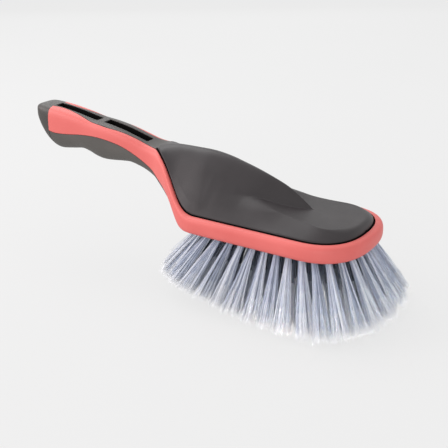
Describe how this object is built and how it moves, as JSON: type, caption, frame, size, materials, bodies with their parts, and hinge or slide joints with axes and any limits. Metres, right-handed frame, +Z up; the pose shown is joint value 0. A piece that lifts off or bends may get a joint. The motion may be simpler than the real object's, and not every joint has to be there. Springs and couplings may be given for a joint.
{
  "type": "wheel brush",
  "caption": "Wheel cleaning brush: black handle and hood, one-piece soft bumper and side strips, soft finger grip, and outward-fanned bristle tufts with flagged tips.",
  "frame": {"origin": "on the ground under the middle of the overall box, level with the trimmed bristle tips", "axes": "+X from the handle to the nose, +Y to the left of someone looking along +X, +Z up, away from the bristle tips"},
  "size_m": [0.2984, 0.1206, 0.1083],
  "materials": {
    "core_plastic": "satin black moulded plastic",
    "hood_plastic": "fine-textured dark charcoal plastic",
    "bumper_rubber": "matte coral red soft rubber",
    "grip_rubber": "matte warm black soft rubber",
    "block_plastic": "plain black plastic",
    "bristle": "translucent blue-grey filaments with pale flagged tips",
    "anchor_wire": "bare brass flat wire"
  },
  "bodies": {
    "root": {"handle_core": "core_plastic", "hood": "hood_plastic", "rubber_bumper": "bumper_rubber", "finger_grip": "grip_rubber", "bristle_block": "block_plastic", "tufts_outer_left": "bristle", "tufts_outer_right": "bristle", "tufts_second_left": "bristle", "tufts_second_right": "bristle", "tufts_third_left": "bristle", "tufts_third_right": "bristle", "tufts_inner_left": "bristle", "tufts_inner_right": "bristle", "tufts_centre": "bristle", "anchors_outer_left": "anchor_wire", "anchors_outer_right": "anchor_wire", "anchors_second_left": "anchor_wire", "anchors_second_right": "anchor_wire", "anchors_third_left": "anchor_wire", "anchors_third_right": "anchor_wire", "anchors_inner_left": "anchor_wire", "anchors_inner_right": "anchor_wire", "anchors_centre": "anchor_wire"}
  },
  "joints": []
}
